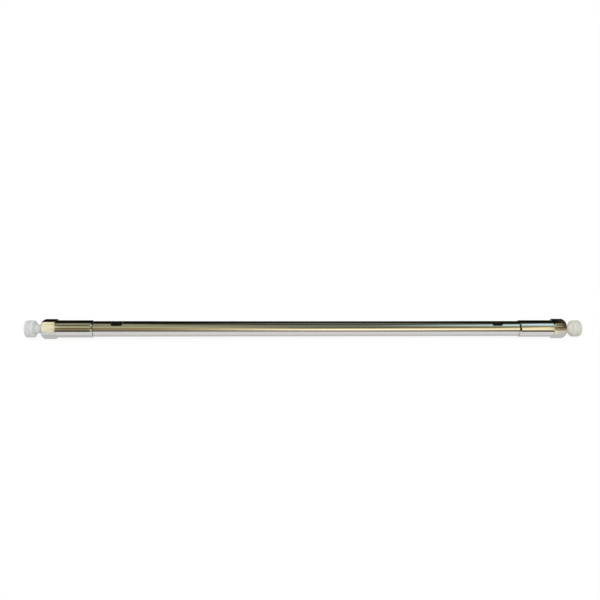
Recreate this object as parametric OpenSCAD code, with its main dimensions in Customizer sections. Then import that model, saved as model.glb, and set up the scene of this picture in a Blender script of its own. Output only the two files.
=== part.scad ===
// Packed analytical column: a stainless tube with a screwed end fitting and a screw-in
// shipping plug at each end. The column lies along X, inlet at -X and outlet at +X, and
// the origin is the middle of the tube's axis. All sizes are in millimetres.

/* [Tube] */
// Length of the tube, end face to end face
tube_length = 250; // [100:5:300]
// Outside diameter of the plain tube
tube_diameter = 8; // [7.6:0.1:8.6]
// Diameter of the bore that holds the packing
tube_bore = 4.6; // [3:0.1:4.8]
// Length of the turned-down, threaded spigot at each end
spigot_length = 14.85; // [12:0.05:20]
// Height of the shoulder where the spigot begins
shoulder_height = 0.4; // [0.25:0.05:0.5]
// Width of the thread run-out groove beside the shoulder
groove_width = 1.2; // [0.6:0.1:2]
// Depth of the thread run-out groove below the spigot
groove_depth = 0.35; // [0.1:0.05:0.5]
// Chamfer on the outer rim of the spigot
spigot_chamfer = 0.4; // [0.1:0.05:0.6]

/* [Spanner flats on the tube] */
// Distance across the two flats
flats_across = 6.35; // [6:0.05:7.2]
// Length of a flat at its full depth
flat_length = 4.7; // [3:0.1:10]
// Distance from the tube's end face to the middle of the flats
flat_setback = 26.6; // [22:0.1:45]

/* [End fitting] */
// Length of the whole fitting, skirt rim to end face
fitting_length = 25.2; // [23:0.1:35]
// Gap between the tube's shoulder and the rim of the skirt
skirt_gap = 0.25; // [0.1:0.05:1]
// Wall of the skirt outside its thread
skirt_wall = 0.77; // [0.65:0.01:1.2]
// Length of the bevel at the rim of the skirt
skirt_bevel = 0.7; // [0.3:0.1:2]
// Chamfer at the mouth of the skirt's bore
mouth_chamfer = 0.2; // [0.05:0.05:0.25]
// Hexagon head, across its flats
hex_across = 9; // [8.5:0.05:12]
// Length of the hexagon head
hex_length = 7.05; // [5:0.05:9]
// Length and height of the 45 degree bevel on the nose, from the hexagon's corners
nose_bevel = 1.05; // [0.8:0.05:1.5]
// Height of the 30 degree bevel on the hexagon's corners beside the skirt
back_bevel = 0.5; // [0.1:0.05:0.6]
// Turn of the inlet hexagon about the column's axis
inlet_turn = -14; // [-30:1:30]
// Turn of the outlet hexagon about the column's axis
outlet_turn = 0; // [-30:1:30]

/* [Port] */
// Diameter of the tapped hole for the capillary
port_diameter = 4.83; // [3.6:0.01:5]
// Depth of the tapped hole
port_depth = 4.9; // [4:0.1:6]
// Countersink at the mouth of the port
port_chamfer = 0.35; // [0.1:0.05:0.5]
// Wide end of the cone that a ferrule seats in
seat_diameter = 3.2; // [2.4:0.1:3.5]
// Half angle of the ferrule cone
seat_angle = 20; // [18:1:30]
// Diameter of the pilot hole that takes the capillary's tip
pilot_diameter = 1.65; // [1.2:0.05:1.8]
// Depth of the pilot hole
pilot_depth = 1; // [0.5:0.1:1.2]
// Diameter of the passage to the frit
passage_diameter = 0.5; // [0.3:0.05:1]

/* [Frit] */
// Thickness of the frit and its ring
frit_thickness = 1.65; // [1:0.05:2]
// Overlap of the frit on the tube's end face, all round
frit_overlap = 0.2; // [0.1:0.05:0.5]
// Depth of the pocket in the fitting that centres the ring
pocket_depth = 1.35; // [0.6:0.05:1.5]
// Step between the spigot's radius and the pocket's
pocket_step = 0.15; // [0.1:0.05:0.3]
// Depth of the shallow cone that spreads the flow over the frit
spreader_depth = 0.4; // [0.1:0.05:0.6]

/* [Shipping plug] */
// Diameter of the plug's round head
head_diameter = 8.6; // [7:0.1:12]
// Length of the head, with its tapered underside
head_length = 5.5; // [4.5:0.05:10]
// Length of the tapered underside of the head
head_taper = 1.5; // [0.5:0.1:2.5]
// Rounding of the head's outer edge
head_rounding = 0.7; // [0.5:0.1:2]
// Distance the head stands off the fitting when the plug is tight
head_stand_off = 2.8; // [1:0.1:5]
// Diameter of the plain neck below the head
neck_diameter = 4.5; // [3.2:0.1:4.6]
// Length of the plug's thread
plug_thread_length = 4; // [2:0.1:4.4]
// Length of the plug's tapered tip, from the floor of the tapped hole
tip_length = 1.7; // [0.8:0.1:2]

/* [Fits] */
// Radial clearance between the spigot and the skirt
spigot_clearance = 0.05; // [0.02:0.01:0.1]
// Radial clearance between the plug and the port
plug_clearance = 0.06; // [0.02:0.01:0.1]
// Clearance between the plug's tip and the ferrule cone
tip_clearance = 0.05; // [0.02:0.01:0.2]
// Clearance round the frit, its ring and the packing
seat_clearance = 0.02; // [0.01:0.01:0.05]

/* [Hidden] */

// Facets of a round piece and of a small passage
round_facets = 96;
small_facets = 48;
// How far a cutting tool runs past the surface that it opens
overrun = 1;

// Radii of the tube and its spigot
tube_radius = tube_diameter / 2;
bore_radius = tube_bore / 2;
spigot_radius = tube_radius - shoulder_height;
groove_radius = spigot_radius - groove_depth;

// Radii of the end fitting, from the thread outwards
thread_radius = spigot_radius + spigot_clearance;
skirt_radius = thread_radius + skirt_wall;
hex_corner_radius = hex_across / 2 / cos(30);

// Places along an end, from the tube's end face outwards
shoulder_z = -spigot_length;
skirt_rim_z = shoulder_z + skirt_gap;
nose_z = skirt_rim_z + fitting_length;
hex_z = nose_z - hex_length;
pocket_floor_z = frit_thickness;
pocket_z = pocket_floor_z - pocket_depth;
port_floor_z = nose_z - port_depth;
seat_depth = (seat_diameter - pilot_diameter) / 2 / tan(seat_angle);
pilot_floor_z = port_floor_z - seat_depth - pilot_depth;

// Radii of the pocket, the ring and the frit
pocket_radius = spigot_radius - pocket_step;
frit_radius = bore_radius + frit_overlap;

// Radii and places of the shipping plug
head_radius = head_diameter / 2;
neck_radius = neck_diameter / 2;
head_z = nose_z + head_stand_off;
plug_thread_radius = port_diameter / 2 - plug_clearance;
plug_thread_z = port_floor_z + seat_clearance;
tip_slack = tip_clearance / cos(seat_angle);
tip_base_radius = seat_diameter / 2 - tip_slack;
tip_end_radius = tip_base_radius - tip_length * tan(seat_angle);
root_chamfer = min(plug_thread_radius - tip_base_radius, plug_thread_length / 2);

// Outline of one half of the tube's outside and end face, from its middle outwards
half_length = tube_length / 2;
shoulder_x = half_length - spigot_length;
half_outline = [
    [tube_radius, shoulder_x],
    [groove_radius, shoulder_x],
    [groove_radius, shoulder_x + groove_width],
    [spigot_radius, shoulder_x + groove_width + groove_depth],
    [spigot_radius, half_length - spigot_chamfer],
    [spigot_radius - spigot_chamfer, half_length],
    [bore_radius, half_length]
];
last_point = len(half_outline) - 1;
mirrored_outline = [for (i = [last_point:-1:0]) [half_outline[i][0], -half_outline[i][1]]];

// Puts a piece drawn along Z, from the tube's end face outwards, at the end named by side
module at_end(side) {
    mirror([side < 0 ? 1 : 0, 0, 0])
        translate([tube_length / 2, 0, 0])
            rotate([0, 90, 0])
                children();
}

// A turned hollow between two heights, r1 at its lower end and r2 at its upper one
module turned_hollow(z1, z2, r1, r2, facets = round_facets) {
    translate([0, 0, z1])
        cylinder(h = z2 - z1, r1 = r1, r2 = r2, $fn = facets);
}

// The cutter's path for one flat: full depth in the middle, run out at 45 degrees
module flat_cutter() {
    depth = tube_radius - flats_across / 2 + overrun;
    floor_z = flats_across / 2;
    rotate([90, 0, 0])
        linear_extrude(height = tube_diameter + 2 * overrun, center = true)
            polygon([
                [-flat_length / 2, floor_z],
                [flat_length / 2, floor_z],
                [flat_length / 2 + depth, floor_z + depth],
                [-flat_length / 2 - depth, floor_z + depth]
            ]);
}

module column_tube() {
    color("silver")
        difference() {
            rotate([0, 90, 0])
                rotate_extrude($fn = round_facets)
                    polygon(concat(half_outline, mirrored_outline));
            for (end = [-1, 1], face = [0, 180])
                translate([end * (tube_length / 2 - flat_setback), 0, 0])
                    rotate([face, 0, 0])
                        flat_cutter();
        }
}

module packed_bed() {
    color("whitesmoke")
        rotate([0, 90, 0])
            cylinder(
                h = tube_length,
                r = bore_radius - seat_clearance,
                center = true,
                $fn = round_facets
            );
}

// The fitting's outside: a bevelled skirt that runs into a hexagon bevelled at both ends
module fitting_blank(turn) {
    rotate_extrude($fn = round_facets)
        polygon([
            [0, skirt_rim_z],
            [tube_radius, skirt_rim_z],
            [skirt_radius, skirt_rim_z + skirt_bevel],
            [skirt_radius, hex_z + overrun],
            [0, hex_z + overrun]
        ]);
    intersection() {
        translate([0, 0, hex_z])
            rotate([0, 0, 30 + turn])
                cylinder(h = hex_length, r = hex_corner_radius, $fn = 6);
        rotate_extrude($fn = round_facets)
            polygon([
                [0, hex_z - overrun],
                [hex_corner_radius - back_bevel, hex_z - overrun],
                [hex_corner_radius - back_bevel, hex_z],
                [hex_corner_radius + overrun, hex_z + (back_bevel + overrun) * tan(30)],
                [hex_corner_radius + overrun, nose_z - nose_bevel - overrun],
                [hex_corner_radius - nose_bevel, nose_z],
                [hex_corner_radius - nose_bevel, nose_z + overrun],
                [0, nose_z + overrun]
            ]);
    }
}

// The fitting's inside, from the mouth of the skirt to the mouth of the port
module fitting_hollows() {
    port_radius = port_diameter / 2;
    seat_radius = seat_diameter / 2;
    pilot_radius = pilot_diameter / 2;
    passage_radius = passage_diameter / 2;
    turned_hollow(skirt_rim_z - overrun, pocket_z, thread_radius, thread_radius);
    turned_hollow(
        skirt_rim_z - overrun,
        skirt_rim_z + mouth_chamfer,
        thread_radius + mouth_chamfer + overrun,
        thread_radius
    );
    turned_hollow(pocket_z - overrun, pocket_floor_z, pocket_radius, pocket_radius);
    turned_hollow(
        pocket_floor_z,
        pocket_floor_z + spreader_depth,
        bore_radius,
        passage_radius,
        small_facets
    );
    turned_hollow(
        pocket_floor_z,
        pilot_floor_z + overrun / 2,
        passage_radius,
        passage_radius,
        small_facets
    );
    turned_hollow(pilot_floor_z, port_floor_z, pilot_radius, pilot_radius, small_facets);
    turned_hollow(port_floor_z - seat_depth, port_floor_z, pilot_radius, seat_radius, small_facets);
    turned_hollow(port_floor_z, nose_z + overrun, port_radius, port_radius);
    turned_hollow(
        nose_z - port_chamfer,
        nose_z + overrun,
        port_radius,
        port_radius + port_chamfer + overrun
    );
}

module end_fitting(side, turn) {
    color("gainsboro")
        at_end(side)
            difference() {
                fitting_blank(turn);
                fitting_hollows();
            }
}

// A disc of the frit's thickness, less the clearance that keeps it off the tube's end face
module seated_disc(radius) {
    translate([0, 0, seat_clearance])
        cylinder(h = frit_thickness - seat_clearance, r = radius, $fn = round_facets);
}

module frit_ring(side) {
    ring_hole_radius = frit_radius + seat_clearance;
    color("burlywood")
        at_end(side)
            difference() {
                seated_disc(pocket_radius - seat_clearance);
                turned_hollow(-overrun, frit_thickness + overrun, ring_hole_radius, ring_hole_radius);
            }
}

module frit(side) {
    color("darkgray")
        at_end(side)
            seated_disc(frit_radius);
}

// Profile of the plug: tapered tip, thread, neck, and a head with a rounded outer edge
module plug_profile() {
    head_top_z = head_z + head_length;
    rounding_z = head_top_z - head_rounding;
    thread_top_z = plug_thread_z + plug_thread_length;
    neck_step = plug_thread_radius - neck_radius;
    polygon([
        [0, port_floor_z - tip_length],
        [tip_end_radius, port_floor_z - tip_length],
        [tip_base_radius, port_floor_z],
        [tip_base_radius, plug_thread_z],
        [plug_thread_radius, plug_thread_z + root_chamfer],
        [plug_thread_radius, thread_top_z - neck_step],
        [neck_radius, thread_top_z],
        [neck_radius, head_z],
        [head_radius, head_z + head_taper],
        [head_radius, rounding_z],
        [head_radius - head_rounding, rounding_z],
        [head_radius - head_rounding, head_top_z],
        [0, head_top_z]
    ]);
    translate([head_radius - head_rounding, rounding_z])
        intersection() {
            circle(r = head_rounding, $fn = round_facets);
            square(head_rounding);
        }
}

module plug(side) {
    color("ghostwhite")
        at_end(side)
            rotate_extrude($fn = round_facets)
                plug_profile();
}

column_tube();
packed_bed();
end_fitting(-1, inlet_turn);  // inlet_end_fitting
frit_ring(-1);  // inlet_frit_ring
frit(-1);  // inlet_frit
plug(-1);  // inlet_plug
end_fitting(1, outlet_turn);  // outlet_end_fitting
frit_ring(1);  // outlet_frit_ring
frit(1);  // outlet_frit
plug(1);  // outlet_plug
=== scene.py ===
# %% [markdown]
# # A packed chromatography column
#
# The column is a slender steel tube, 250 mm long and 8 mm across, with a turned fitting screwed on
# each end and a milky plastic plug in each port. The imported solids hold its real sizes, so they
# come first, and everything below is built round them in the same frame: metres, X along the
# column from inlet to outlet, and Z up.

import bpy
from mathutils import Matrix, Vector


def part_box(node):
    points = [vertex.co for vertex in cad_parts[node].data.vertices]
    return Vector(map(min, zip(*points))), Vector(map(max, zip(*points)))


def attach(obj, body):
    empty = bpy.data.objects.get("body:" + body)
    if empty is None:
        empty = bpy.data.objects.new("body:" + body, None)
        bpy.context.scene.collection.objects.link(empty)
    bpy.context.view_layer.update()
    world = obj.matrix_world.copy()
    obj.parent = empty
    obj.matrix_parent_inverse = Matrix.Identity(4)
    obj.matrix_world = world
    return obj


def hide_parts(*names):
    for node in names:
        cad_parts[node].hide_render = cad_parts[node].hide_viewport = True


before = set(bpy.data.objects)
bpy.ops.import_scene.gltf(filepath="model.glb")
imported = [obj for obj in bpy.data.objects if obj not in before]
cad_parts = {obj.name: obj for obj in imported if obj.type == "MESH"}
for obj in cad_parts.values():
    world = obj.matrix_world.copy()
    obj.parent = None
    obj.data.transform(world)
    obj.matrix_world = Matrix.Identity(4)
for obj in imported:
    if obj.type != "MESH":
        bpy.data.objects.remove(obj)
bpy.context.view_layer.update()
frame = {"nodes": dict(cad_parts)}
print("solids:", ", ".join(frame["nodes"]))

# %% [markdown]
# ## Edges that catch the light
#
# No machined edge is perfectly sharp. Deburring leaves a radius of a few hundredths of a
# millimetre, and that radius is the bright line along an edge. A Bevel modifier would round
# everything alike and would clamp itself on the smallest edge. Here the radius belongs to the
# outline that gets swept: each inner corner of the outline is replaced by points on a true arc,
# which takes up no more than four tenths of either side.

# %% Round the corners of an outline
import math

import bmesh
import bpy
from mathutils import Matrix, Quaternion, Vector

MM = 0.001
SIDE_SHARE = 0.4
NO_CORNER = 1e-6


def corner_arc(before, corner, after, radius, steps):
    """The steps + 1 points of the arc that rounds one corner. A point with no corner repeats."""
    into, out = Vector(corner) - Vector(before), Vector(after) - Vector(corner)
    turn = into.angle(out, 0)
    back = min(radius * math.tan(turn / 2), SIDE_SHARE * into.length, SIDE_SHARE * out.length)
    if back < NO_CORNER:
        return [tuple(corner)] * (steps + 1)
    into.normalize()
    out.normalize()
    centre = Vector(corner) + (out - into).normalized() * back / math.sin(turn / 2)
    spoke = Vector(corner) - into * back - centre
    way = math.copysign(turn, into.cross(out))
    return [tuple(centre + Matrix.Rotation(way * i / steps, 2) @ spoke) for i in range(steps + 1)]


def eased(points, radius, steps=2):
    """The outline [(x, r), ...] with all its inner corners rounded."""
    result = [tuple(points[0])]
    for before, corner, after in zip(points, points[1:], points[2:]):
        result += corner_arc(before, corner, after, radius, steps)
    return result + [tuple(points[-1])]


square_corner = eased([(0, 0), (1, 0), (1, 1)], 0.1)
print("a square corner becomes", [f"{x:.3f}, {r:.3f}" for x, r in square_corner])

# %% [markdown]
# ## A turned piece is a swept outline
#
# Tube, fittings and plugs come off a lathe or out of a round mould, so each one is an outline
# swept round the X axis. The Screw modifier sweeps a fixed outline. These outlines change on the
# way round, because the hexagon, the milled flats and the threads all depend on the angle. So
# the outline is a function of the angle that always returns the same number of points, and
# neighbouring columns of points are joined by quads. Points that fall together are welded.
#
# Long slender quads lie beside tiny ones at each rounded edge. The Weighted Normal modifier lets
# the large faces decide the shading, so a mirror finish stays true right up to the edge.

# %% Sweep an outline round the axis
COLUMNS = 240
WELD_DISTANCE = 0.0005 * MM
CREASE_ANGLE = math.radians(32)


def swept_mesh(name, outline, first_angle=0.0):
    """A mesh from outline(angle), which returns [(x, radius), ...] in millimetres."""
    bm = bmesh.new()
    rings = []
    for step in range(COLUMNS + 1):
        angle = first_angle + 2 * math.pi * step / COLUMNS
        outward = Vector((0, math.cos(angle), math.sin(angle)))
        places = [Vector((x, 0, 0)) + outward * r for x, r in outline(angle)]
        rings.append([bm.verts.new(place * MM) for place in places])
    for here, there in zip(rings, rings[1:]):
        for i in range(len(here) - 1):
            bm.faces.new((here[i], here[i + 1], there[i + 1], there[i])).smooth = True
    bmesh.ops.remove_doubles(bm, verts=bm.verts, dist=WELD_DISTANCE)
    bmesh.ops.recalc_face_normals(bm, faces=bm.faces)
    for edge in bm.edges:
        if len(edge.link_faces) == 2 and edge.calc_face_angle() > CREASE_ANGLE:
            edge.smooth = False
    open_edges = sum(1 for edge in bm.edges if len(edge.link_faces) != 2)
    mesh = bpy.data.meshes.new(name)
    bm.to_mesh(mesh)
    bm.free()
    print(f"{name}: {len(mesh.polygons)} faces, {open_edges} open edges")
    return mesh


def stand_in_for(node, mesh, body):
    """Puts a swept mesh in place of a plain solid, and says how far their boxes differ."""
    piece = bpy.data.objects.new(mesh.name, mesh)
    bpy.context.scene.collection.objects.link(piece)
    piece.modifiers.new("even_shading", "WEIGHTED_NORMAL").keep_sharp = True
    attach(piece, body)
    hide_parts(node)
    for bound, pick in zip(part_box(node), (min, max)):
        corner = Vector([pick(v.co[axis] for v in mesh.vertices) for axis in range(3)])
        print(f"  {piece.name} differs from the solid by {(corner - bound).length / MM:.3f} mm")
    return piece


# %% [markdown]
# ## A thread
#
# The tube's spigots, the fittings' bores and the plugs all carry fine vee threads. A thread could
# be cut with a boolean and a coiled wedge, which is slow and leaves slivers. A helix is simpler
# in a swept outline: crest and root lie a little further along at each angle, by one pitch for
# each full turn. The roots fade out at both ends, as where a tool runs in and out. The solids
# have plain cylinders here, and the thread is cut into them, never raised above them.

# %% Points of a thread, along one column of the sweep
THREAD_FORM = [(0.0, 0), (0.125, 0), (0.4375, 1), (0.6875, 1)]


def thread_points(start, end, radius, depth, pitch, angle, hand):
    """Crests at the radius and roots at radius + depth, from start to end along the axis."""
    turns = math.ceil((end - start) / pitch)
    shift = hand * angle / (2 * math.pi)
    points = []
    for turn in range(-2, turns + 3):
        for part, level in THREAD_FORM:
            along = min(max(start + pitch * (turn + part + shift), start), end)
            fade = min(along - start, end - along, pitch) / pitch
            points.append((along, radius + level * depth * fade))
    return points


# %% [markdown]
# ## The tube
#
# The tube is ground all along, and turned down at both ends to a threaded spigot, with a run-out
# groove beside the shoulder. Next to each fitting two flats are milled across it for a spanner.
# A flat is where the outline dips below the tube's radius: at each angle the milled plane lies
# at its height divided by the sine of the angle, and its ends run out at 45 degrees.

# %% Outline of the tube
TUBE_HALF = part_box("column_tube")[1].x / MM
TUBE_RADIUS = 4.0
BORE_RADIUS = 2.3
SPIGOT_RADIUS = 3.6
SHOULDER = -14.85
GROOVE_WIDTH = 1.2
GROOVE_DEPTH = 0.35
SPIGOT_CHAMFER = 0.4
FLAT_HEIGHT = 6.35 / 2
FLAT_LENGTH = 4.7
FLAT_CENTRE = -26.6
LEAST_LIFT = 0.1
FINE_EDGE = 0.05
FITTING_PITCH = 0.75
FITTING_THREAD_DEPTH = 0.4


def flat_points(angle):
    """The dip of one flat along the tube, rounded at its four corners."""
    lift = abs(math.sin(angle))
    cut = min(TUBE_RADIUS, FLAT_HEIGHT / max(lift, LEAST_LIFT))
    run_out = max(0.0, TUBE_RADIUS * lift - FLAT_HEIGHT)
    near, far = FLAT_CENTRE - FLAT_LENGTH / 2, FLAT_CENTRE + FLAT_LENGTH / 2
    return [(near - run_out, TUBE_RADIUS), (near, cut), (far, cut), (far + run_out, TUBE_RADIUS)]


def half_tube(angle, side):
    """From the tube's middle out along one end and back down the bore."""
    groove_radius = SPIGOT_RADIUS - GROOVE_DEPTH
    thread_start = SHOULDER + GROOVE_WIDTH + GROOVE_DEPTH
    shoulder = [(SHOULDER, TUBE_RADIUS), (SHOULDER, groove_radius),
                (SHOULDER + GROOVE_WIDTH, groove_radius), (thread_start, SPIGOT_RADIUS)]
    outside = eased([(-TUBE_HALF, TUBE_RADIUS)] + flat_points(angle) + shoulder, FINE_EDGE)
    thread = thread_points(thread_start, -SPIGOT_CHAMFER, SPIGOT_RADIUS, -FITTING_THREAD_DEPTH,
                           FITTING_PITCH, angle, side)
    end_face = eased([(-SPIGOT_CHAMFER, SPIGOT_RADIUS), (0, SPIGOT_RADIUS - SPIGOT_CHAMFER),
                      (0, BORE_RADIUS), (-TUBE_HALF, BORE_RADIUS)], FINE_EDGE)
    return [(side * (TUBE_HALF + z), r) for z, r in outside + thread + end_face]


def tube_outline(angle):
    inlet_half = half_tube(angle, -1)
    return half_tube(angle, 1) + inlet_half[::-1]


ground_tube = swept_mesh("ground_tube", tube_outline)
tube = stand_in_for("column_tube", ground_tube, "column")

# %% [markdown]
# ## The end fittings
#
# Each fitting is turned from hexagon bar: a round skirt with a long bevel at its rim, then the
# hexagon, coned at both ends. The hexagon could come from a six-sided cylinder and two booleans.
# In the swept outline it needs one formula: at each angle the face lies at the apothem divided
# by the cosine of the angle to the face's middle. Where the cones cut the faces, the curved
# edges then come out by themselves, because the cone's height is worked out at the same angle.
# The way back runs through the port, the ferrule seat, the passage and the frit's pocket.

# %% Outline of an end fitting
SKIRT_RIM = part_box("outlet_end_fitting")[0].x / MM - TUBE_HALF
SKIRT_MIDDLE = SKIRT_RIM / 2
SKIRT_RADIUS = 4.42
SKIRT_BEVEL = 0.7
SKIRT_BORE_RADIUS = 3.65
MOUTH_CHAMFER = 0.2
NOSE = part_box("outlet_end_fitting")[1].x / MM - TUBE_HALF
HEX_LENGTH = 7.05
HEX_BACK = NOSE - HEX_LENGTH
HEX_APOTHEM = 4.5
HALF_FACE = math.radians(30)
HEX_EDGE_RADIUS = 0.06
HEX_CROWN = 0.02
HEX_CORNER = HEX_APOTHEM / math.cos(HALF_FACE)
NOSE_BEVEL = 1.05
BACK_BEVEL = 0.5
BACK_CONE_SLOPE = math.tan(math.radians(30))
PORT_RADIUS = 4.83 / 2
PORT_DEPTH = 4.9
PORT_FLOOR = NOSE - PORT_DEPTH
PORT_CHAMFER = 0.35
PORT_PITCH = 0.794
PORT_THREAD_DEPTH = 0.38
SEAT_RADIUS = 1.6
PILOT_RADIUS = 0.825
PILOT_DEPTH = 1.0
PASSAGE_RADIUS = 0.25
FRIT_THICKNESS = 1.65
POCKET_DEPTH = 1.35
POCKET_RADIUS = 3.45
SPREADER_DEPTH = 0.4
SEAT_SLOPE = math.tan(math.radians(20))
SEAT_DEPTH = (SEAT_RADIUS - PILOT_RADIUS) / SEAT_SLOPE


def hexagon_radius(angle):
    """How far out the slightly crowned face lies, at this angle from one of the corners."""
    from_middle = angle % (2 * HALF_FACE) - HALF_FACE
    across = math.tan(from_middle) / math.tan(HALF_FACE)
    crowned_face = (HEX_APOTHEM - HEX_CROWN * across ** 2) / math.cos(from_middle)
    rounded_corner = (HEX_APOTHEM - HEX_EDGE_RADIUS) / math.cos(HALF_FACE) + HEX_EDGE_RADIUS
    return min(crowned_face, rounded_corner)


def fitting_outside(angle):
    """From the middle of the skirt over the hexagon to the port's mouth."""
    face = hexagon_radius(angle)
    back_cone = HEX_CORNER - BACK_BEVEL
    nose_cone = HEX_CORNER - NOSE_BEVEL
    back_rise = max(0.0, face - back_cone) * BACK_CONE_SLOPE
    return [
        (SKIRT_MIDDLE, SKIRT_RADIUS),
        (HEX_BACK, SKIRT_RADIUS),
        (HEX_BACK, min(face, back_cone)),
        (HEX_BACK + back_rise, face),
        (NOSE - (face - nose_cone), face),
        (NOSE, nose_cone),
        (NOSE, PORT_RADIUS + PORT_CHAMFER),
        (NOSE - PORT_CHAMFER, PORT_RADIUS),
    ]


def fitting_inside():
    """From the floor of the port through the passage to the fitting's own thread."""
    pilot_floor = PORT_FLOOR - SEAT_DEPTH - PILOT_DEPTH
    pocket_mouth = FRIT_THICKNESS - POCKET_DEPTH
    return [
        (PORT_FLOOR, PORT_RADIUS),
        (PORT_FLOOR, SEAT_RADIUS),
        (PORT_FLOOR - SEAT_DEPTH, PILOT_RADIUS),
        (pilot_floor, PILOT_RADIUS),
        (pilot_floor, PASSAGE_RADIUS),
        (FRIT_THICKNESS + SPREADER_DEPTH, PASSAGE_RADIUS),
        (FRIT_THICKNESS, BORE_RADIUS),
        (FRIT_THICKNESS, POCKET_RADIUS),
        (pocket_mouth, POCKET_RADIUS),
        (pocket_mouth, SKIRT_BORE_RADIUS),
    ]


def fitting_outline(angle, side, turn):
    port_thread = thread_points(PORT_FLOOR, NOSE - PORT_CHAMFER, PORT_RADIUS, PORT_THREAD_DEPTH,
                                PORT_PITCH, angle, side)
    inside = fitting_inside()
    bore_end = SKIRT_RIM + MOUTH_CHAMFER
    bore_thread = thread_points(bore_end, inside[-1][0], SKIRT_BORE_RADIUS, FITTING_THREAD_DEPTH,
                                FITTING_PITCH, angle, side)
    rim = [(bore_end, SKIRT_BORE_RADIUS), (SKIRT_RIM, SKIRT_BORE_RADIUS + MOUTH_CHAMFER),
           (SKIRT_RIM, TUBE_RADIUS), (SKIRT_RIM + SKIRT_BEVEL, SKIRT_RADIUS),
           (SKIRT_MIDDLE, SKIRT_RADIUS)]
    points = eased(fitting_outside(angle - turn), FINE_EDGE) + port_thread[::-1]
    points += eased(inside, FINE_EDGE) + bore_thread[::-1] + eased(rim, FINE_EDGE)
    return [(side * (TUBE_HALF + z), r) for z, r in points]


HEX_TURN = {"inlet": math.radians(-14), "outlet": 0.0}
SIDE = {"inlet": -1, "outlet": 1}
fittings = []
for end, turn in HEX_TURN.items():
    mesh = swept_mesh(f"{end}_fitting", lambda angle: fitting_outline(angle, SIDE[end], turn), turn)
    fitting = stand_in_for(f"{end}_end_fitting", mesh, f"{end}_end")
    fittings.append(fitting)

# %% [markdown]
# ## The shipping plugs
#
# A plug is moulded in one piece: a tapered tip that closes the ferrule seat, a short thread, a
# plain neck to break the grip, and a fat round head for two fingers. Moulded edges are much
# softer than turned ones, so the head and the neck get generous radii.

# %% Outline of a plug
PLUG_CLEARANCE = 0.06
PLUG_THREAD_RADIUS = PORT_RADIUS - PLUG_CLEARANCE
PLUG_THREAD_REACH = 4.02
PLUG_THREAD_END = PORT_FLOOR + PLUG_THREAD_REACH
PLUG_THREAD_DEPTH = 0.36
TIP_LENGTH = 1.7
TIP_RADIUS = 1.547
NECK_RADIUS = 2.25
HEAD_STAND_OFF = 2.8
HEAD_BACK = NOSE + HEAD_STAND_OFF
HEAD_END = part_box("outlet_plug")[1].x / MM - TUBE_HALF
HEAD_RADIUS = 4.3
HEAD_TAPER = 1.5
HEAD_ROUNDING = 0.7
NECK_ROUNDING = 0.8
MOULDED_EDGE = 0.1
NECK_STEPS = 6
HEAD_STEPS = 12


def plug_outline(angle, side):
    thread_start = PORT_FLOOR + PLUG_THREAD_RADIUS - TIP_RADIUS
    neck_start = PLUG_THREAD_END - (PLUG_THREAD_RADIUS - NECK_RADIUS)
    tip_end = PORT_FLOOR - TIP_LENGTH
    tip = eased([(tip_end, 0), (tip_end, TIP_RADIUS - TIP_LENGTH * SEAT_SLOPE),
                 (PORT_FLOOR, TIP_RADIUS), (thread_start, PLUG_THREAD_RADIUS)], MOULDED_EDGE)
    thread = thread_points(thread_start, neck_start, PLUG_THREAD_RADIUS, -PLUG_THREAD_DEPTH,
                           PORT_PITCH, angle, side)
    half_taper = (HEAD_BACK + HEAD_TAPER / 2, (NECK_RADIUS + HEAD_RADIUS) / 2)
    half_head = ((HEAD_BACK + HEAD_TAPER + HEAD_END) / 2, HEAD_RADIUS)
    neck = eased([(neck_start, PLUG_THREAD_RADIUS), (PLUG_THREAD_END, NECK_RADIUS),
                  (HEAD_BACK, NECK_RADIUS), half_taper], NECK_ROUNDING, NECK_STEPS)
    head = eased([half_taper, (HEAD_BACK + HEAD_TAPER, HEAD_RADIUS), half_head],
                 NECK_ROUNDING, NECK_STEPS)
    crown = eased([half_head, (HEAD_END, HEAD_RADIUS), (HEAD_END, 0)], HEAD_ROUNDING, HEAD_STEPS)
    return [(side * (TUBE_HALF + z), r) for z, r in tip + thread + neck + head + crown]


plugs = []
for end, side in SIDE.items():
    mesh = swept_mesh(f"{end}_shipping_plug", lambda angle: plug_outline(angle, side))
    plugs.append(stand_in_for(f"{end}_plug", mesh, f"{end}_stopper"))

# %% [markdown]
# ## Finishes, and how they are built
#
# Every finish below is made of shader nodes only. A small helper adds a node and links it, so
# that each finish reads as a list of what is done to the surface. Constants that are the same
# all over a piece are set straight on the shader's own sockets.

# %% Helpers for shader nodes


def new_finish(name, **settings):
    """A material with one Principled shader, and the shader with its constants set."""
    material = bpy.data.materials.new(name)
    material.use_nodes = True
    shader = material.node_tree.nodes["Principled BSDF"]
    for socket, value in settings.items():
        shader.inputs[socket.replace("_", " ")].default_value = value
    return material, shader


def add_node(tree, kind, inputs=(), **settings):
    """Adds a node, sets its properties and sockets, and links those sockets given an output."""
    node = tree.nodes.new("ShaderNode" + kind)
    for name, value in settings.items():
        setattr(node, name, value)
    for name, value in dict(inputs).items():
        if isinstance(value, bpy.types.NodeSocket):
            tree.links.new(value, node.inputs[name])
        else:
            node.inputs[name].default_value = value
    return node


def noise(tree, vector, scale, detail):
    """A noise from 0 to 1, with so many waves to a unit of the vector."""
    waves = add_node(tree, "TexNoise", {"Vector": vector, "Scale": scale, "Detail": detail})
    return waves.outputs["Fac"]


def relief(tree, shader, height, distance, before=None):
    """Bumps the shader's surface by a height from 0 to 1 times the distance in metres."""
    inputs = {"Height": height, "Strength": 1.0, "Distance": distance}
    if before:
        inputs["Normal"] = before.outputs["Normal"]
    bump = add_node(tree, "Bump", inputs)
    tree.links.new(bump.outputs["Normal"], shader.inputs["Normal"])
    return bump


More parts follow.
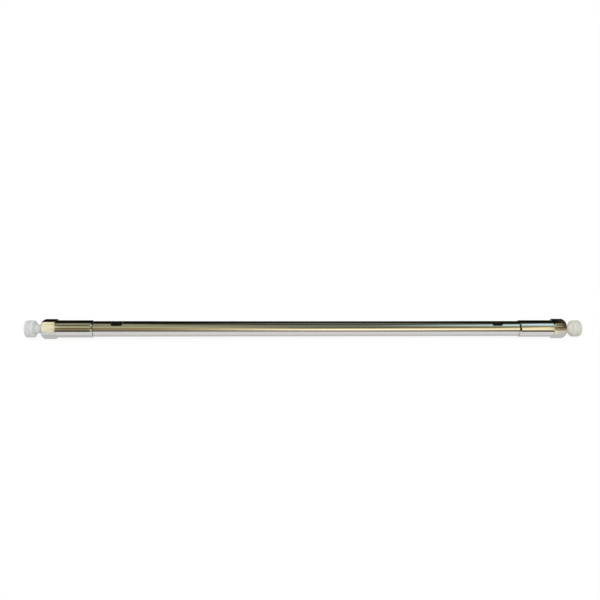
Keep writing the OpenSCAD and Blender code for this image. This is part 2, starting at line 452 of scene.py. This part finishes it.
# %% [markdown]
# ## Stainless steel, four ways
#
# One steel, four finishes. The tube is centreless ground, which leaves fine rings round it. The
# fittings are turned and polished almost to a mirror. The hexagon keeps the grain of the drawn
# bar, with a faint ripple. The spanner flats show the matt arcs of a milling cutter. All are the
# Principled shader at full metallic. What tells them apart is roughness and the direction of a
# fine bump, so each finish stretches its noise its own way. Rings round the tube smear a
# reflection along it and leave it crisp across, as on real ground rod.

# %% Steel finishes
STEEL = (0.600, 0.596, 0.582, 1)
PATCHES_PER_METRE = 120.0
RIPPLES_PER_METRE = 700.0
RIPPLE_HEIGHT = 0.000006


def steel_finish(name, roughness, spread, grain_scale, grain_height):
    """Steel with a grain stretched by grain_scale, and a roughness that wanders by spread."""
    material, shader = new_finish(name, Base_Color=STEEL, Metallic=1.0)
    tree = material.node_tree
    place = add_node(tree, "TexCoord").outputs["Object"]
    stretch = add_node(tree, "Mapping", {"Vector": place, "Scale": grain_scale}).outputs["Vector"]
    bump = relief(tree, shader, noise(tree, stretch, 1.0, 3.0), grain_height)
    patches = noise(tree, place, PATCHES_PER_METRE, 2.0)
    wander = add_node(tree, "MapRange", {
        "Value": patches, "To Min": roughness - spread, "To Max": roughness + spread})
    tree.links.new(wander.outputs["Result"], shader.inputs["Roughness"])
    return material, shader, place, bump


def drawn_steel():
    """The hexagon's faces: grain along the bar, and a ripple a millimetre or two long."""
    material, shader, place, grain = steel_finish(
        "drawn_bar", 0.06, 0.015, (500, 5000, 5000), 0.0000006)
    tree = material.node_tree
    relief(tree, shader, noise(tree, place, RIPPLES_PER_METRE, 1.0), RIPPLE_HEIGHT, grain)
    return material


ground = steel_finish("centreless_ground", 0.10, 0.02, (7000, 90, 90), 0.000003)[0]
polished = steel_finish("mirror_polish", 0.06, 0.015, (5000, 90, 90), 0.0000006)[0]
milled = steel_finish("cutter_marks", 0.26, 0.05, (5000, 500, 500), 0.000003)[0]
drawn = drawn_steel()

# %% [markdown]
# ## Which face gets which finish
#
# A turned piece carries several finishes, so its mesh has several material slots, and each face
# picks one by where it lies: the flats are inside the tube's radius, and the hexagon's faces
# are the ones beyond the skirt that look straight outwards.

# %% Give the steel pieces their finishes
FLAT_MARGIN = 0.01
SKIRT_MARGIN = 0.02
LEVEL = 0.1


def face_finishes(piece, materials, pick):
    """Fills the piece's slots and gives each face the slot that pick(centre, normal) names."""
    for material in materials:
        piece.data.materials.append(material)
    counts = [0] * len(materials)
    for face in piece.data.polygons:
        face.material_index = pick(face.center / MM, face.normal)
        counts[face.material_index] += 1
    print(piece.name, "faces by finish:", dict(zip([m.name for m in materials], counts)))


def on_milled_flat(centre, normal):
    from_flat = abs(abs(centre.x) - (TUBE_HALF + FLAT_CENTRE))
    inside = math.hypot(centre.y, centre.z) < TUBE_RADIUS - FLAT_MARGIN
    return from_flat < FLAT_LENGTH and inside and abs(centre.z) > BORE_RADIUS


def on_hexagon(centre, normal):
    beyond_skirt = math.hypot(centre.y, centre.z) > SKIRT_RADIUS + SKIRT_MARGIN
    return beyond_skirt and abs(normal.x) < LEVEL


face_finishes(tube, [ground, milled], on_milled_flat)
for fitting in fittings:
    face_finishes(fitting, [polished, drawn], on_hexagon)

# %% [markdown]
# ## Milky plastic
#
# The plugs are a natural, unfilled plastic. Light goes a millimetre or two into it and comes out
# nearby, which softens every shadow on the head. Transmission would make it look like glass, so
# the scattering is left to the shader's subsurface part, and a faint uneven gloss tells that it
# came out of a mould. The base colour also carries painted light and shade along the plug. The
# neck is painted a shade darker, partly because the dark port shows through the thin plastic and
# partly as painted shade from the head and hexagon. The head's tapered underside is painted a shade
# brighter, for the light from all round that gathers there. The two plugs' tints differ as
# painted light too: the inlet's is cooler and the outlet's warmer, as the light falls at each end.

# %% Plug plastic
# The plastic's own colour with painted light in it: cooler at the inlet, warmer at the outlet.
PLUG_TINTS_WITH_PAINTED_LIGHT = {"inlet": (0.655, 0.680, 0.662), "outlet": (0.648, 0.636, 0.570)}
# Painted shade and light along the plug: the neck darker, the head's underside brighter.
PAINTED_PLUG_SHADING = {HEAD_BACK - 1.0: 0.93, HEAD_BACK + 0.3: 1.30, HEAD_BACK + 1.4: 1.14, HEAD_BACK + 2.6: 1.0}
SKIN_WAVES_PER_METRE = 900.0
SKIN_HEIGHT = 0.000004
RAMP_MIDDLE = 0.5


def milky_plastic(name, tint):
    material, shader = new_finish(
        name, Roughness=0.42, IOR=1.5, Subsurface_Weight=0.4,
        Subsurface_Radius=(1.0, 1.0, 0.9), Subsurface_Scale=0.0016)
    tree = material.node_tree
    place = add_node(tree, "TexCoord").outputs["Object"]
    along = add_node(tree, "SeparateXYZ", {"Vector": place}).outputs["X"]
    outward = add_node(tree, "Math", {0: along}, operation="ABSOLUTE").outputs["Value"]
    share = add_node(tree, "MapRange", {
        "Value": outward, "From Min": (TUBE_HALF + min(PAINTED_PLUG_SHADING)) * MM,
        "From Max": (TUBE_HALF + max(PAINTED_PLUG_SHADING)) * MM}).outputs["Result"]
    painted_shading = add_node(tree, "ValToRGB", {"Fac": share})
    for _ in range(len(PAINTED_PLUG_SHADING) - 2):
        painted_shading.color_ramp.elements.new(RAMP_MIDDLE)
    for stop, (z, shade) in zip(painted_shading.color_ramp.elements, PAINTED_PLUG_SHADING.items()):
        stop.position = (z - min(PAINTED_PLUG_SHADING)) / (max(PAINTED_PLUG_SHADING) - min(PAINTED_PLUG_SHADING))
        stop.color = (*(part * shade for part in tint), 1)
    tree.links.new(painted_shading.outputs["Color"], shader.inputs["Base Color"])
    relief(tree, shader, noise(tree, place, SKIN_WAVES_PER_METRE, 3.0), SKIN_HEIGHT)
    return material


for plug, (end, tint) in zip(plugs, PLUG_TINTS_WITH_PAINTED_LIGHT.items()):
    plug.data.materials.append(milky_plastic(f"milky_plastic_{end}", tint))

# %% [markdown]
# ## What is inside
#
# Unscrewing a fitting bares the end of the tube: white silica packing, and in the fitting a grey
# disc of sintered steel in its beige plastic ring. Their solids have the right shape already,
# so they stay and only get a finish. Sintered metal and packing are both grains pressed
# together, which a fine Voronoi pattern shows well as bump.

# %% Finishes of the inner pieces


def grainy_finish(name, colour, metallic, roughness, grains_per_metre, height):
    material, shader = new_finish(name, Metallic=metallic, Roughness=roughness)
    tree = material.node_tree
    place = add_node(tree, "TexCoord").outputs["Object"]
    grains = add_node(tree, "TexVoronoi", {"Vector": place, "Scale": grains_per_metre})
    relief(tree, shader, grains.outputs["Distance"], height)
    shade = add_node(tree, "MapRange", {
        "Value": grains.outputs["Distance"], "To Min": 1.0, "To Max": 0.8}).outputs["Result"]
    tint = add_node(tree, "VectorMath", {0: colour, "Scale": shade}, operation="SCALE")
    tree.links.new(tint.outputs["Vector"], shader.inputs["Base Color"])
    return material


sintered = grainy_finish("sintered_grains", (0.38, 0.37, 0.35), 1.0, 0.55, 9000, 0.00003)
beige = grainy_finish("beige_ring_plastic", (0.62, 0.50, 0.33), 0.0, 0.45, 4000, 0.000003)
silica = grainy_finish("packed_silica", (0.86, 0.86, 0.83), 0.0, 0.8, 12000, 0.00002)
inner_solids = {"packed_bed": silica}
for end in SIDE:
    inner_solids[f"{end}_frit"] = sintered
    inner_solids[f"{end}_frit_ring"] = beige
for node, finish in inner_solids.items():
    solid = frame["nodes"][node]
    solid.data.materials.clear()
    solid.data.materials.append(finish)
print("inner solids:", ", ".join(inner_solids))

# %% [markdown]
# ## The floor
#
# The column lies on one flat of the outlet hexagon and one corner of the inlet hexagon, which
# reach down by different amounts, so the floor is tipped by a tenth of a degree to touch both.
# Camera, mirror and glass rays see it as white paper, part of it shaded, so that the soft
# shadow under the column stays. The steel sees a brighter paper than the camera does, but more
# of the shadow on it, which rounds its underside. All other rays see plain pale paper.

# %% Floor
FLOOR_HALF = 4.0
PAPER = (0.8, 0.8, 0.8, 1)
SHADOW_SEEN = 0.13
PAPER_WHITE = 1.01
SHADOW_MIRRORED = 0.40
MIRRORED_WHITE = 1.05
hex_middle = (TUBE_HALF + (HEX_BACK + NOSE) / 2) * MM
inlet_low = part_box("inlet_end_fitting")[0].z
outlet_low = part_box("outlet_end_fitting")[0].z


def seen_directly(tree):
    """1 for camera, mirror and glass rays, 0 for the rays that carry light between surfaces."""
    path = add_node(tree, "LightPath").outputs
    either = add_node(tree, "Math", {0: path["Is Camera Ray"], 1: path["Is Glossy Ray"]},
                      operation="MAXIMUM").outputs["Value"]
    return add_node(tree, "Math", {0: either, 1: path["Is Transmission Ray"]},
                    operation="MAXIMUM").outputs["Value"]


def paper_finish():
    material, shader = new_finish("white_paper", Base_Color=PAPER, Roughness=1.0)
    tree = material.node_tree
    mirrored = add_node(tree, "LightPath").outputs["Is Glossy Ray"]
    share = add_node(tree, "MapRange", {
        "Value": mirrored, "To Min": SHADOW_SEEN, "To Max": SHADOW_MIRRORED}).outputs["Result"]
    rest = add_node(tree, "MapRange", {
        "Value": mirrored, "To Min": PAPER_WHITE - SHADOW_SEEN,
        "To Max": MIRRORED_WHITE - SHADOW_MIRRORED}).outputs["Result"]
    lit = add_node(tree, "BsdfDiffuse", {"Color": share})
    glow = add_node(tree, "Emission", {"Color": (1, 1, 1, 1), "Strength": rest})
    white = add_node(tree, "AddShader", {0: lit.outputs["BSDF"], 1: glow.outputs["Emission"]})
    choice = add_node(tree, "MixShader", {
        "Fac": seen_directly(tree), 1: shader.outputs["BSDF"], 2: white.outputs["Shader"]})
    tree.links.new(choice.outputs["Shader"], tree.nodes["Material Output"].inputs["Surface"])
    return material


bpy.ops.mesh.primitive_plane_add(size=2 * FLOOR_HALF)
floor = bpy.context.object
floor.name = "paper_floor"
floor.rotation_euler.y = -math.atan2(outlet_low - inlet_low, 2 * hex_middle)
floor.location.z = (inlet_low + outlet_low) / 2
floor.data.materials.append(paper_finish())
print(f"floor tipped by {math.degrees(floor.rotation_euler.y):.3f} degrees")

# %% [markdown]
# ## Soft light
#
# Plastic and paper want even light: a white world and one very wide sun, which together add up
# to about 1, so that a colour renders about as it is written. The sun is hidden from mirror
# rays, because polished steel shows its surroundings and not its lamps.

# %% World and sun
SKY_STRENGTH = 0.55
SUN_STRENGTH = 1.5
SUN_WIDTH = 50
SUN_TILT = (math.radians(28), math.radians(-12), 0)


def white_world():
    world = bpy.data.worlds.new("white_studio")
    bpy.context.scene.world = world
    world.use_nodes = True
    tree = world.node_tree
    strength = add_node(tree, "MapRange", {
        "Value": seen_directly(tree), "To Min": SKY_STRENGTH, "To Max": 1.0}).outputs["Result"]
    sky = tree.nodes["Background"]
    sky.inputs["Color"].default_value = (1, 1, 1, 1)
    tree.links.new(strength, sky.inputs["Strength"])


white_world()
sun = bpy.data.objects.new("wide_sun", bpy.data.lights.new("wide_sun", "SUN"))
bpy.context.scene.collection.objects.link(sun)
sun.data.energy = SUN_STRENGTH
sun.data.angle = math.radians(SUN_WIDTH)
sun.rotation_euler = SUN_TILT
sun.visible_glossy = False
print("light on a level white sheet:", round(SKY_STRENGTH + SUN_STRENGTH / math.pi, 2))

# %% [markdown]
# ## The tent that the steel mirrors
#
# Polished steel has hardly a colour of its own, and shows what stands round it. A photographer
# hangs cards round such an object: a black flag behind it draws the dark upper edge, a pale
# silk overhead gives the cool stripe, and a gold reflector in front gives the warm one. The
# cards here are strips of a wide half-cylinder round the column, one above another, where 0
# degrees is the near horizon, 90 is straight up and 180 is the far horizon. They hang a little
# crooked, so each seam between two cards has its angle at five stations along the column, and
# each card has its light at three: at the inlet, in the middle and at the outlet. Only mirror rays
# see them.

# %% Cards
STATIONS = (-0.30, 0.17, 0.55)
SEAM_STATIONS = (-0.35, -0.20, 0.06, 0.49, 0.56)
TENT_RADIUS = 0.9
TENT_REACH = 2.2
CARD_STEP = 4
RAMP_TOP = 2.0

SEAMS = [
    (0, 0, 0, 0, 0),
    (13, 11, 7, 9, 10),
    (45, 42, 30, 33, 43),
    (46, 43, 32, 40, 53),
    (62, 62, 60, 61, 62),
    (63, 63, 62, 76, 74),
    (110, 95, 86, 96, 102),
    (121, 123, 130, 123, 123),
    (180, 180, 180, 180, 180),
]
CARDS = {
    "tan_cloth": ((0.32, 0.25, 0.17), (0.85, 0.64, 0.43), (0.46, 0.38, 0.26)),
    "gold_reflector": ((0.42, 0.33, 0.17), (1.82, 1.64, 1.10), (1.52, 1.34, 0.85)),
    "gold_hem": ((0.50, 0.42, 0.22), (0.60, 0.48, 0.27), (1.10, 0.84, 0.40)),
    "olive_cloth": ((0.66, 0.61, 0.36), (0.20, 0.18, 0.11), (0.36, 0.30, 0.14)),
    "lower_silk": ((0.50, 0.48, 0.30), (0.26, 0.30, 0.24), (0.42, 0.54, 0.50)),
    "silk_overhead": ((0.42, 0.41, 0.26), (0.22, 0.26, 0.22), (0.94, 1.22, 1.30)),
    "olive_card_behind": ((0.03, 0.03, 0.02), (0.20, 0.20, 0.15), (0.05, 0.05, 0.03)),
    "black_flag": ((0.008, 0.008, 0.006),) * 3,
}


def card_light(name, lights):
    """Light that changes from station to station along the column."""
    material, shader = new_finish(name)
    tree = material.node_tree
    tree.nodes.remove(shader)
    place = add_node(tree, "TexCoord").outputs["Object"]
    along = add_node(tree, "SeparateXYZ", {"Vector": place}).outputs["X"]
    share = add_node(tree, "MapRange", {
        "Value": along, "From Min": STATIONS[0], "From Max": STATIONS[-1]}).outputs["Result"]
    ramp = add_node(tree, "ValToRGB", {"Fac": share})
    ramp.color_ramp.interpolation = "EASE"
    ramp.color_ramp.elements.new(RAMP_MIDDLE)
    for stop, station, light in zip(ramp.color_ramp.elements, STATIONS, lights):
        stop.position = (station - STATIONS[0]) / (STATIONS[-1] - STATIONS[0])
        stop.color = (*(part / RAMP_TOP for part in light), 1)
    glow = add_node(tree, "Emission", {"Color": ramp.outputs["Color"], "Strength": RAMP_TOP})
    tree.links.new(glow.outputs["Emission"], tree.nodes["Material Output"].inputs["Surface"])
    return material


def plain_light(name, light):
    """The same light all over a card."""
    return card_light(name, (light,) * 3)


def mirrored_only(name, points, faces, material):
    """A card that only mirror rays see."""
    mesh = bpy.data.meshes.new(name)
    mesh.from_pydata(points, [], faces)
    mesh.materials.append(material)
    card = bpy.data.objects.new(name, mesh)
    bpy.context.scene.collection.objects.link(card)
    card.visible_camera = card.visible_diffuse = False
    card.visible_transmission = card.visible_shadow = False


def curved_card(name, lows, highs, radius, stations, material):
    """A strip round the column, with its two edges' angles at each station."""
    steps = max(2, math.ceil((max(highs) - min(lows)) / CARD_STEP))
    count = len(stations)
    points = []
    for i in range(steps + 1):
        for x, low, high in zip(stations, lows, highs):
            angle = math.radians(low + (high - low) * i / steps)
            height = radius * math.sin(angle) + floor.location.z
            points.append((x, -radius * math.cos(angle), height))
    faces = [(count * i + k, count * i + k + 1, count * (i + 1) + k + 1, count * (i + 1) + k)
             for i in range(steps) for k in range(count - 1)]
    mirrored_only(name, points, faces, material)


for (name, lights), low, high in zip(CARDS.items(), SEAMS, SEAMS[1:]):
    curved_card(name, (low[0], *low, low[-1]), (high[0], *high, high[-1]), TENT_RADIUS,
                (-TENT_REACH, *SEAM_STATIONS, TENT_REACH), card_light(name, lights))
print("cards:", ", ".join(CARDS))

# %% [markdown]
# ## Ribs and small cards
#
# Smaller cards hang just inside the tent. Three dark ribs hold the cloth at the inlet's side and
# draw thin lines on the inlet skirt. A cream card beyond them lights the inlet hexagon. Past
# the gold reflector's end a dark hem, a brown cloth and a tan one hang one below the other, and
# stripe the outlet hexagon, and an olive flag overhead keeps its upper face from going black. A
# cord along the silk's upper hem draws one more thin line in the middle of the tube. Grey silk
# and a low white card put two glints on the inlet skirt's bevel, with dark cloth round them, and
# the tent is dark beyond the cream card, which blackens the bevel of the outlet skirt.

# %% Ribs and small cards
INNER_RADIUS = 0.86
RIB_REACH = (-0.434, -0.364)
RIBS = {10: 7, 37: 6, 78: 9}
rib_black = plain_light("rib_black", (0.012, 0.012, 0.010))
for angle, width in RIBS.items():
    curved_card(f"rib_{angle}", (angle - width / 2,) * 2, (angle + width / 2,) * 2, INNER_RADIUS,
                RIB_REACH, rib_black)

SMALL_CARDS = {
    "cream_card": (44, 69, -0.485, -0.434, (1.32, 1.25, 0.88)),
    "dark_end_cloth": (0, 112, -TENT_REACH, -0.485, (0.015, 0.015, 0.012)),
    "tan_end_cloth": (8, 28.0, 0.563, 0.64, (0.92, 0.84, 0.70)),
    "brown_end_cloth": (28.0, 28.9, 0.563, 0.64, (0.30, 0.19, 0.08)),
    "dark_end_hem": (28.9, 52, 0.563, 0.64, (0.06, 0.055, 0.035)),
    "olive_end_flag": (132, 180, 0.575, 0.70, (0.045, 0.043, 0.028)),
    "seam_cord": (95, 104, -0.06, 0.32, (0.02, 0.02, 0.015)),
    "dark_outlet_cloth": (12, 78, 0.64, TENT_REACH, (0.24, 0.22, 0.15)),
    "grey_outlet_silk": (78, 94, 0.64, TENT_REACH, (0.85, 0.88, 0.84)),
    "dark_outlet_flag": (94, 132, 0.64, TENT_REACH, (0.03, 0.03, 0.02)),
    "white_low_card": (0, 12, 0.64, 1.2, (1.5, 1.5, 1.45)),
}
for name, (low, high, left, right, light) in SMALL_CARDS.items():
    curved_card(name, (low, low), (high, high), INNER_RADIUS, (left, right),
                plain_light(name, light))
print("ribs at", list(RIBS), "degrees, small cards:", ", ".join(SMALL_CARDS))

# %% [markdown]
# ## Cloths on the table
#
# Cloths lie on the paper, again for mirror rays alone. The tube shows the dark one in front as a
# thin line along its horizon. A pale sheet right under the column is painted shade: it stands for
# the column's own shadow on the paper, so that the tube's belly shows that shade in its reflection,
# and it comes a little further forward under the wider inlet fitting. A grey cloth behind each end
# keeps the top edge dark there. Each has four corners: left, right, the near edge, and the far
# edge at its two ends, because the dark cloth lies a little askew.

# %% Cloths
CLOTH_LIFT = 0.0003
GREY = (0.22, 0.22, 0.21)
PAINTED_SHADE_GREY = (0.78, 0.78, 0.77)
CLOTHS = {
    "dark_cloth_in_front": (-0.5, 0.5, -TENT_RADIUS, (-0.058, -0.002), (0.02, 0.02, 0.02)),
    # The two sheets under the column are painted shade, for its shadow on the paper in the steel's
    # reflection.
    "painted_shade_under": (-0.5, 0.5, -0.0049, (0.012, 0.012), PAINTED_SHADE_GREY),
    "painted_shade_inlet": (-0.5, -0.1105, -0.0066, (-0.0049, -0.0049), PAINTED_SHADE_GREY),
    "grey_cloth_inlet": (-TENT_RADIUS, -0.085, 0.016, (TENT_RADIUS, TENT_RADIUS), GREY),
    "grey_cloth_outlet": (0.085, TENT_RADIUS, 0.016, (TENT_RADIUS, TENT_RADIUS), GREY),
}
for name, (left, right, near, fars, light) in CLOTHS.items():
    corners = [(left, near), (right, near), (right, fars[1]), (left, fars[0])]
    slope = math.tan(floor.rotation_euler.y)
    points = [(x, y, floor.location.z + CLOTH_LIFT - x * slope) for x, y in corners]
    mirrored_only(name, points, [(0, 1, 2, 3)], plain_light(name, light))
print("cloths:", ", ".join(CLOTHS))

# %% [markdown]
# ## The camera
#
# The camera stands 0.3 m off and looks down by about 29 degrees, a little from the inlet's side.
# So close, the inlet half looks slightly larger than the outlet half. It is rolled by a degree
# or two, which brings the column level in the picture.

# %% Camera
PICTURE_WIDTH = 600
FOCAL_PIXELS = 575
CAMERA_PLACE = Vector((-22.37, -254.58, 156.60)) * MM
CAMERA_AIM = Vector((-3.76, 31.05, 0)) * MM
CAMERA_ROLL = math.radians(1.904)

camera = bpy.data.objects.new("camera", bpy.data.cameras.new("camera"))
bpy.context.scene.collection.objects.link(camera)
bpy.context.scene.camera = camera
camera.data.sensor_width = 36
camera.data.lens = camera.data.sensor_width * FOCAL_PIXELS / PICTURE_WIDTH
camera.location = CAMERA_PLACE
camera.rotation_mode = "QUATERNION"
aim_turn = (CAMERA_AIM - CAMERA_PLACE).to_track_quat("-Z", "Y")
camera.rotation_quaternion = aim_turn @ Quaternion((0, 0, 1), CAMERA_ROLL)


def pixel(x, y, z):
    """Where a point given in millimetres falls in the picture, in pixels from its top left."""
    bpy.context.view_layer.update()
    seen = camera.matrix_world.inverted() @ (Vector((x, y, z)) * MM)
    scale = FOCAL_PIXELS / -seen.z
    middle = PICTURE_WIDTH / 2
    return round(middle + seen.x * scale, 1), round(middle - seen.y * scale, 1)


for label, x in {"inlet tube end": -TUBE_HALF, "middle": 0, "outlet tube end": TUBE_HALF}.items():
    print(label, "is seen at pixel", pixel(x, 0, 0))

# %% [markdown]
# ## Colours as written
#
# The Standard view transform shows a colour as it is written, with no film curve.

# %% Finish
bpy.context.scene.view_settings.view_transform = "Standard"
